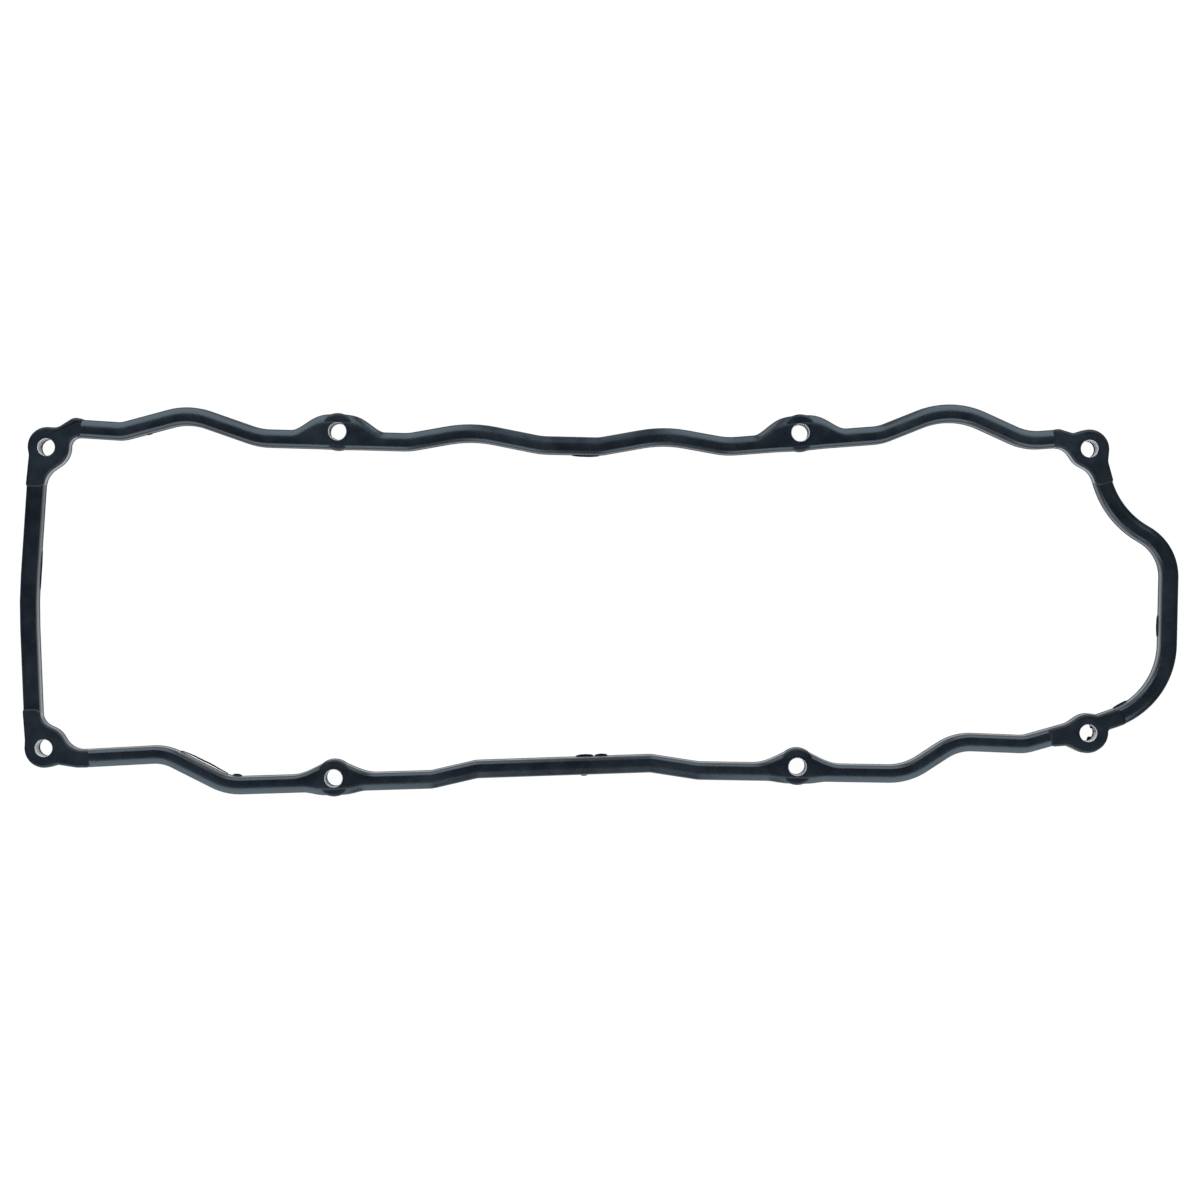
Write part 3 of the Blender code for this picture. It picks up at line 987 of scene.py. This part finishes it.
class Nodes:
    """A small hand for building node trees."""

    def __init__(self, tree: bpy.types.NodeTree) -> None:
        """Takes the tree to build in."""
        self.tree = tree

    def fill(self, socket: bpy.types.NodeSocket, value: object) -> None:
        """Joins an input to another node's output, or sets the input's own value.

        Args:
            socket: the input.
            value: an output socket, a number or a colour.
        """
        if isinstance(value, bpy.types.NodeSocket):
            self.tree.links.new(value, socket)
        else:
            socket.default_value = value

    def add(self, kind: str, values: dict | None = None, **settings: object) -> bpy.types.Node:
        """Adds a node.

        Args:
            kind: the node's type name.
            values: what fills the inputs, by socket name or number.
            settings: the node's own properties.

        Returns:
            The node.
        """
        node = self.tree.nodes.new(kind)
        for key, value in settings.items():
            setattr(node, key, value)
        for key, value in (values or {}).items():
            self.fill(node.inputs[key], value)
        return node

    def math(self, operation: str, first: object, second: object = 0.0) -> bpy.types.NodeSocket:
        """Does sums with two sockets or numbers, by the operation's name."""
        return self.add("ShaderNodeMath", {0: first, 1: second}, operation=operation).outputs[0]

    def product(self, first: object, second: object) -> bpy.types.NodeSocket:
        """Multiplies two sockets or numbers."""
        return self.math("MULTIPLY", first, second)

    def rest(self, share: object) -> bpy.types.NodeSocket:
        """Takes a share from one."""
        return self.math("SUBTRACT", 1.0, share)

    def ramp(self, source: bpy.types.NodeSocket, low: float, high: float) -> bpy.types.NodeSocket:
        """Maps a value to 0 at low and 1 at high, smoothly, and no further."""
        values = {"Value": source, "From Min": low, "From Max": high}
        return self.add("ShaderNodeMapRange", values, interpolation_type="SMOOTHSTEP").outputs["Result"]

    def apart(self, vector: bpy.types.NodeSocket, axis: str) -> bpy.types.NodeSocket:
        """Takes one axis of a vector."""
        return self.add("ShaderNodeSeparateXYZ", {0: vector}).outputs[axis]

    def mix(self, factor: bpy.types.NodeSocket, first: object, second: object) -> bpy.types.NodeSocket:
        """Mixes two colours by a factor.

        Args:
            factor: the share of the second colour.
            first: a socket or a colour.
            second: a socket or a colour.

        Returns:
            The colour's socket.
        """
        node = self.add("ShaderNodeMix", {"Factor": factor}, data_type="RGBA")
        colours = [socket for socket in node.inputs if socket.type == "RGBA"]
        for socket, value in zip(colours, (first, second), strict=True):
            self.fill(socket, value)
        return next(socket for socket in node.outputs if socket.type == "RGBA")


def new_group(name: str, inputs: dict[str, float], outputs: tuple[str, ...]) -> tuple[Nodes, dict, dict]:
    """Starts a shader node group with number sockets.

    Args:
        name: the group's name.
        inputs: default values by input name.
        outputs: the output names.

    Returns:
        The tree's hand, the input sockets and the output sockets, by name.
    """
    tree = bpy.data.node_groups.new(name, "ShaderNodeTree")
    for key, value in inputs.items():
        socket = tree.interface.new_socket(key, in_out="INPUT", socket_type="NodeSocketFloat")
        socket.default_value = value
    for key in outputs:
        tree.interface.new_socket(key, in_out="OUTPUT", socket_type="NodeSocketFloat")
    hand = Nodes(tree)
    start = hand.add("NodeGroupInput")
    end = hand.add("NodeGroupOutput")
    return hand, {key: start.outputs[key] for key in inputs}, {key: end.inputs[key] for key in outputs}


@dataclass(frozen=True)
class Grain:
    """The moulded grain: fine noise with pits, as a height, and a wider mottle, as a mask."""

    fine_noise: tuple[float, float] = (3.0, 0.6)
    broad_noise: tuple[float, float] = (4.0, 0.55)
    broad_scale: float = 160.0
    broad_reach: tuple[float, float] = (0.32, 0.68)
    pit_scale: float = 900.0
    pit_reach: float = 0.32

    def group(self) -> bpy.types.NodeTree:
        """Builds the shader group; each noise is given by its detail and its roughness.

        Returns:
            The group, with the fine noise's size in millimetres and the pits' depth as inputs.
        """
        hand, given, out = new_group("rubber_grain", {"Size": 0.5, "Pits": 0.5}, ("Height", "Mottle"))
        place = hand.add("ShaderNodeTexCoord").outputs["Object"]
        fine, broad = (
            hand.add("ShaderNodeTexNoise", {"Vector": place, "Detail": detail, "Roughness": roughness})
            for detail, roughness in (self.fine_noise, self.broad_noise)
        )
        hand.fill(fine.inputs["Scale"], hand.math("DIVIDE", 1000.0, given["Size"]))
        hand.fill(broad.inputs["Scale"], self.broad_scale)
        cells = {"Vector": place, "Scale": self.pit_scale, "Randomness": 1.0}
        pits = hand.add("ShaderNodeTexVoronoi", cells)
        hollow = hand.ramp(pits.outputs["Distance"], 0.0, self.pit_reach)
        dent = hand.product(hand.math("SUBTRACT", hollow, 1.0), given["Pits"])
        hand.fill(out["Height"], hand.math("ADD", fine.outputs["Fac"], dent))
        hand.fill(out["Mottle"], hand.ramp(broad.outputs["Fac"], *self.broad_reach))
        return hand.tree


@dataclass(frozen=True)
class Dust:
    """What lies on the rubber: rare pale specks and a thin uneven bloom, as two masks."""

    cell_scale: float = 260.0
    speck_reach: tuple[float, float] = (0.06, 0.16)
    bloom_scale: float = 38.0
    bloom_detail: float = 6.0
    bloom_roughness: float = 0.62
    bloom_reach: tuple[float, float] = (0.42, 0.75)

    def group(self) -> bpy.types.NodeTree:
        """Builds the shader group.

        Returns:
            The group, with the share of cells that hold a speck and the bloom's strength as inputs.
        """
        hand, given, out = new_group("rubber_dust", {"Specks": 0.05, "Bloom": 0.3}, ("Specks", "Bloom"))
        place = hand.add("ShaderNodeTexCoord").outputs["Object"]
        settings = {"Vector": place, "Scale": self.cell_scale, "Randomness": 1.0}
        cells = hand.add("ShaderNodeTexVoronoi", settings)
        chosen = hand.add("ShaderNodeSeparateColor", {"Color": cells.outputs["Color"]})
        rare = hand.math("LESS_THAN", chosen.outputs["Red"], given["Specks"])
        dot = hand.rest(hand.ramp(cells.outputs["Distance"], *self.speck_reach))
        hand.fill(out["Specks"], hand.product(rare, dot))
        settings = {"Vector": place, "Scale": self.bloom_scale, "Detail": self.bloom_detail}
        cloud = hand.add("ShaderNodeTexNoise", {**settings, "Roughness": self.bloom_roughness})
        film = hand.ramp(cloud.outputs["Fac"], *self.bloom_reach)
        hand.fill(out["Bloom"], hand.product(film, given["Bloom"]))
        return hand.tree


@dataclass(frozen=True)
class Section:
    """The masks of the section: painted shade on the foot below the lip, and a painted reflection on the
    wall that faces the middle.

    The foot is everything lower than the parting line; it is darkened as the lip's shadow. The wall lies
    between the parting line and the shoulder, where the normal points against the place's own direction
    from the origin; it is made pale as the white floor mirrored in it. It loses most of its strength
    where the normal leans to +Y.
    """

    foot_end: tuple[float, float] = (1.5, 1.66)
    wall_start: tuple[float, float] = (1.85, 2.2)
    wall_end: tuple[float, float] = (4.2, 5.4)
    inward: tuple[float, float] = (0.25, 0.7)
    lean: tuple[float, float] = (-0.1, 0.6)
    lean_loss: float = 0.75

    def group(self) -> bpy.types.NodeTree:
        """Builds the shader group.

        Returns:
            The group, with no input.
        """
        hand, _, out = new_group("painted_shade_and_reflection", {}, ("Foot_shade", "Wall_reflection"))
        place = hand.add("ShaderNodeTexCoord").outputs["Object"]
        normal = hand.add("ShaderNodeNewGeometry").outputs["Normal"]
        height = hand.apart(place, "Z")
        above, low, high = (
            hand.ramp(height, start * MM, end * MM)
            for start, end in (self.foot_end, self.wall_start, self.wall_end)
        )
        # painted shade: everything below the parting line, darkened as the lip's shadow
        hand.fill(out["Foot_shade"], hand.rest(above))
        # painted reflection: the wall facing the middle, made pale as the white floor mirrored in it,
        # weaker where it leans to +Y
        bearing = hand.add("ShaderNodeVectorMath", {0: place}, operation="NORMALIZE")
        pair = {0: bearing.outputs["Vector"], 1: normal}
        facing = hand.add("ShaderNodeVectorMath", pair, operation="DOT_PRODUCT")
        inward = hand.ramp(hand.product(facing.outputs["Value"], -1.0), *self.inward)
        band = hand.product(low, hand.rest(high))
        loss = hand.product(hand.ramp(hand.apart(normal, "Y"), *self.lean), self.lean_loss)
        hand.fill(out["Wall_reflection"], hand.product(hand.product(inward, band), hand.rest(loss)))
        return hand.tree


# Finishes


@dataclass(frozen=True)
class Rubber:
    """A finish of the black rubber; the plain one is that of the side pads."""

    name: str
    colour: Colour = (0.006, 0.007, 0.01)
    mottle: Colour = (0.009, 0.01, 0.013)
    roughness: float = 0.36
    roughness_spread: float = 0.06
    specular: float = 0.3
    grain: float = 0.3
    pits: float = 0.4
    bump: float = 0.005
    specks: float = 0.006
    speck_colour: Colour = (0.32, 0.33, 0.33)
    bloom: float = 0.1
    bloom_colour: Colour = (0.09, 0.1, 0.11)
    bloom_roughness: float = 0.25
    # the wall strength and its colour paint a pale reflection of the white floor on the walls that face
    # the middle
    wall: float = 0.0
    wall_reflection_colour: Colour = (0.6, 0.5, 0.49)
    # the foot colour is painted shade: the foot below the lip, darkened as the lip's shadow
    foot_shade_colour: Colour = (0.003, 0.003, 0.004)
    foot_roughness: float = 0.5

    def material(self, groups: tuple[bpy.types.NodeTree, ...]) -> bpy.types.Material:
        """Makes the material, which reads Object coordinates.

        Args:
            groups: the shared groups of the grain, the dust and the section's masks.

        Returns:
            The material.
        """
        made = bpy.data.materials.new(self.name)
        made.use_nodes = True
        hand = Nodes(made.node_tree)
        shader = made.node_tree.nodes["Principled BSDF"]
        values = (
            {"Size": self.grain, "Pits": self.pits},
            {"Specks": self.specks, "Bloom": self.bloom},
            {},
        )
        texture, film, section = (
            hand.add("ShaderNodeGroup", given, node_tree=group).outputs
            for group, given in zip(groups, values, strict=True)
        )
        base = hand.mix(texture["Mottle"], (*self.colour, 1), (*self.mottle, 1))
        hazed = hand.mix(film["Bloom"], base, (*self.bloom_colour, 1))
        spotted = hand.mix(film["Specks"], hazed, (*self.speck_colour, 1))
        # painted reflection: the inner walls turn pale, as the white floor mirrored in them
        wall_reflected = hand.mix(hand.product(section["Wall_reflection"], self.wall), spotted, (*self.wall_reflection_colour, 1))
        # painted shade on the foot below the lip
        shaded = hand.mix(section["Foot_shade"], wall_reflected, (*self.foot_shade_colour, 1))
        hand.fill(shader.inputs["Base Color"], shaded)
        rough = self.roughness
        for mask, share in (
            (texture["Mottle"], self.roughness_spread),
            (film["Bloom"], self.bloom_roughness),
            (section["Foot_shade"], self.foot_roughness),
        ):
            rough = hand.math("ADD", rough, hand.product(mask, share))
        hand.fill(shader.inputs["Roughness"], rough)
        relief = {"Strength": 1.0, "Distance": self.bump * MM, "Height": texture["Height"]}
        hand.fill(shader.inputs["Normal"], hand.add("ShaderNodeBump", relief).outputs["Normal"])
        shader.inputs["Specular IOR Level"].default_value = self.specular
        shader.inputs["Metallic"].default_value = 0.0
        made.diffuse_color = (*self.colour, 1)
        return made


RUBBERS = {
    Finish.BEAD: Rubber(
        "bead_rubber",
        colour=(0.007, 0.008, 0.011),
        mottle=(0.011, 0.012, 0.015),
        roughness=0.24,
        roughness_spread=0.04,
        specular=0.5,
        grain=0.35,
        pits=0.1,
        bump=0.0015,
        specks=0.004,
        # a faint painted reflection on the bead's inner walls
        wall=0.15,
    ),
    # a strong painted reflection on the mouldings' inner walls
    Finish.MOULDING: Rubber("moulding_rubber", roughness=0.38, wall=0.65),
    Finish.PAD: Rubber("pad_rubber"),
    Finish.FLASH: Rubber(
        "flash_rubber",
        colour=(0.005, 0.005, 0.006),
        mottle=(0.008, 0.008, 0.009),
        roughness=0.85,
        roughness_spread=0.1,
        specular=0.08,
        grain=0.2,
        bump=0.006,
        specks=0.0,
        bloom=0.0,
    ),
    # painted reflection: the holes' walls are black rubber, painted pale pinkish grey as the white floor
    # seen at a glancing angle
    Finish.BORE_REFLECTION: Rubber(
        "bore_painted_reflection",
        colour=(0.62, 0.54, 0.53),
        mottle=(0.78, 0.69, 0.68),
        roughness=0.45,
        roughness_spread=0.1,
        specular=0.5,
        pits=0.5,
        bump=0.01,
        specks=0.01,
    ),
}


# Studio

WHITE = (1.0, 1.0, 1.0, 1.0)


@dataclass(frozen=True)
class Softbox:
    """A large soft lamp that faces the gasket's long middle line."""

    name: str
    place: tuple[float, float, float]
    size: tuple[float, float]
    power: float
    colour: Colour = (0.68, 0.87, 1.0)

    def build(self) -> None:
        """Makes the lamp, turned squarely to the X axis with its first side level."""
        data = bpy.data.lights.new(self.name, "AREA")
        data.shape = "RECTANGLE"
        data.size = self.size[0] * MM
        data.size_y = self.size[1] * MM
        data.energy = self.power
        data.color = self.colour
        lamp = placed(self.name, data)
        lamp.location = Vector(self.place) * MM
        toward = Vector((0.0, -self.place[1], -self.place[2]))
        lamp.rotation_euler = toward.to_track_quat("-Z", "Y").to_euler()


@dataclass
class Studio:
    """The white floor, the lamps, the surroundings and the camera over the gasket."""

    floor_side: float = 4000.0
    floor_drop: float = 0.05
    floor_white: float = 0.9
    shadow_share: float = 0.1
    glow: float = 1.08
    # painted reflection: the floor glows in reflections only, dim past the lit reach and brighter on the
    # -Y side than the +Y side
    lit_reach: tuple[float, float] = (222.0, 238.0)
    end_glow: float = 0.08
    side_glow: tuple[float, float] = (1.6, 0.7)
    side_reach: float = 40.0
    surroundings: float = 0.04
    surroundings_colour: Colour = (0.75, 0.88, 1.0)
    camera_place: tuple[float, float, float] = (0.3436, 0.1334, 672.7)
    lens: float = 50.0
    sensor: float = 36.0
    boxes: tuple[Softbox, ...] = (
        Softbox("softbox_upper_left", (-357.0, 509.0, 318.0), (560.0, 690.0), 4.4),
        Softbox("softbox_upper_right", (339.0, 509.0, 318.0), (560.0, 690.0), 4.4),
        Softbox("softbox_lower_left", (-363.0, -509.0, 318.0), (540.0, 690.0), 4.0),
        Softbox("softbox_lower_right", (345.0, -509.0, 318.0), (540.0, 690.0), 4.0),
    )

    def floor(self) -> None:
        """Lays the floor: a plain white square that keeps the gasket's shadow."""
        half = self.floor_side / 2
        corners = [(-half, -half), (half, -half), (half, half), (-half, half)]
        mesh = bpy.data.meshes.new("floor")
        points = [(x * MM, y * MM, -self.floor_drop * MM) for x, y in corners]
        mesh.from_pydata(points, [], [(0, 1, 2, 3)])
        mesh.materials.append(self.white_floor())
        thing = placed("floor", mesh)

    def mirrored(self, hand: Nodes) -> bpy.types.NodeSocket:
        """Works out how bright the floor glows in the rubber's reflections, a painted reflection in
        place of the lamps' uneven light on it: dim past the ends, other on each side.

        Args:
            hand: the hand of the floor's tree.

        Returns:
            The brightness.
        """
        place = hand.add("ShaderNodeTexCoord").outputs["Object"]
        away = hand.math("ABSOLUTE", hand.apart(place, "X"))
        beyond = hand.ramp(away, *(reach * MM for reach in self.lit_reach))
        within = hand.rest(hand.product(beyond, 1.0 - self.end_glow))
        lower, upper = self.side_glow
        reach = self.side_reach * MM
        above = hand.product(hand.ramp(hand.apart(place, "Y"), -reach, reach), upper - lower)
        return hand.product(within, hand.math("ADD", lower, above))

    def white_floor(self) -> bpy.types.Material:
        """Makes the floor's material: glowing to the camera and in reflections, else plain white.

        Returns:
            The material, with a share of the true shadows in what the camera sees.
        """
        made = bpy.data.materials.new("white_floor")
        made.use_nodes = True
        hand = Nodes(made.node_tree)
        shader = made.node_tree.nodes["Principled BSDF"]
        shader.inputs["Base Color"].default_value = (*(self.floor_white,) * 3, 1)
        shader.inputs["Roughness"].default_value = 1.0
        shader.inputs["Specular IOR Level"].default_value = 0.0
        path = hand.add("ShaderNodeLightPath").outputs
        # painted reflection: the floor's uneven glow, seen by glossy rays only
        mirrored = hand.product(path["Is Glossy Ray"], self.mirrored(hand))
        strength = hand.math("MAXIMUM", hand.product(path["Is Camera Ray"], self.glow), mirrored)
        glow = hand.add("ShaderNodeEmission", {"Color": WHITE, "Strength": strength})
        seen = hand.math("MAXIMUM", path["Is Camera Ray"], path["Is Glossy Ray"])
        share = hand.product(seen, 1.0 - self.shadow_share)
        parts = {0: share, 1: shader.outputs[0], 2: glow.outputs[0]}
        blend = hand.add("ShaderNodeMixShader", parts).outputs[0]
        hand.fill(made.node_tree.nodes["Material Output"].inputs["Surface"], blend)
        return made

    def world(self) -> None:
        """Sets the surroundings: white past the floor to the camera, dim to everything else."""
        world = bpy.data.worlds.new("studio")
        bpy.context.scene.world = world
        world.use_nodes = True
        hand = Nodes(world.node_tree)
        dim = world.node_tree.nodes["Background"]
        dim.inputs["Color"].default_value = (*self.surroundings_colour, 1)
        dim.inputs["Strength"].default_value = self.surroundings
        white = hand.add("ShaderNodeBackground", {"Color": WHITE, "Strength": 1.0})
        seen = hand.add("ShaderNodeLightPath").outputs["Is Camera Ray"]
        parts = {0: seen, 1: dim.outputs[0], 2: white.outputs[0]}
        blend = hand.add("ShaderNodeMixShader", parts).outputs[0]
        hand.fill(world.node_tree.nodes["World Output"].inputs["Surface"], blend)

    def camera(self) -> None:
        """Hangs the camera straight above its place, looking down with +Y up the picture."""
        data = bpy.data.cameras.new("camera")
        data.lens = self.lens
        data.sensor_width = self.sensor
        data.sensor_fit = "HORIZONTAL"
        eye = placed("camera", data)
        eye.location = Vector(self.camera_place) * MM
        bpy.context.scene.camera = eye

    def build(self) -> None:
        """Builds the whole studio."""
        self.floor()
        self.world()
        self.camera()
        for box in self.boxes:
            box.build()
        bpy.context.scene.view_settings.view_transform = "Standard"


def dress(skin: bpy.types.Object) -> None:
    """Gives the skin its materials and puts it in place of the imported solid.

    Args:
        skin: the whole moulding.
    """
    groups = (Grain().group(), Dust().group(), Section().group())
    for finish, rubber in RUBBERS.items():
        skin.data.materials[finish.value] = rubber.material(groups)
    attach(skin, "root")
    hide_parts(NODE)


def main() -> None:
    """Builds the skin, dresses it and lights it."""
    logging.basicConfig(level=logging.INFO, format="%(name)s: %(message)s")
    skin = Skin().build()
    dress(skin)
    skin.data.calc_loop_triangles()
    LOG.info("%s: %d triangles", skin.name, len(skin.data.loop_triangles))
    Studio().build()


if __name__ == "__main__":
    main()
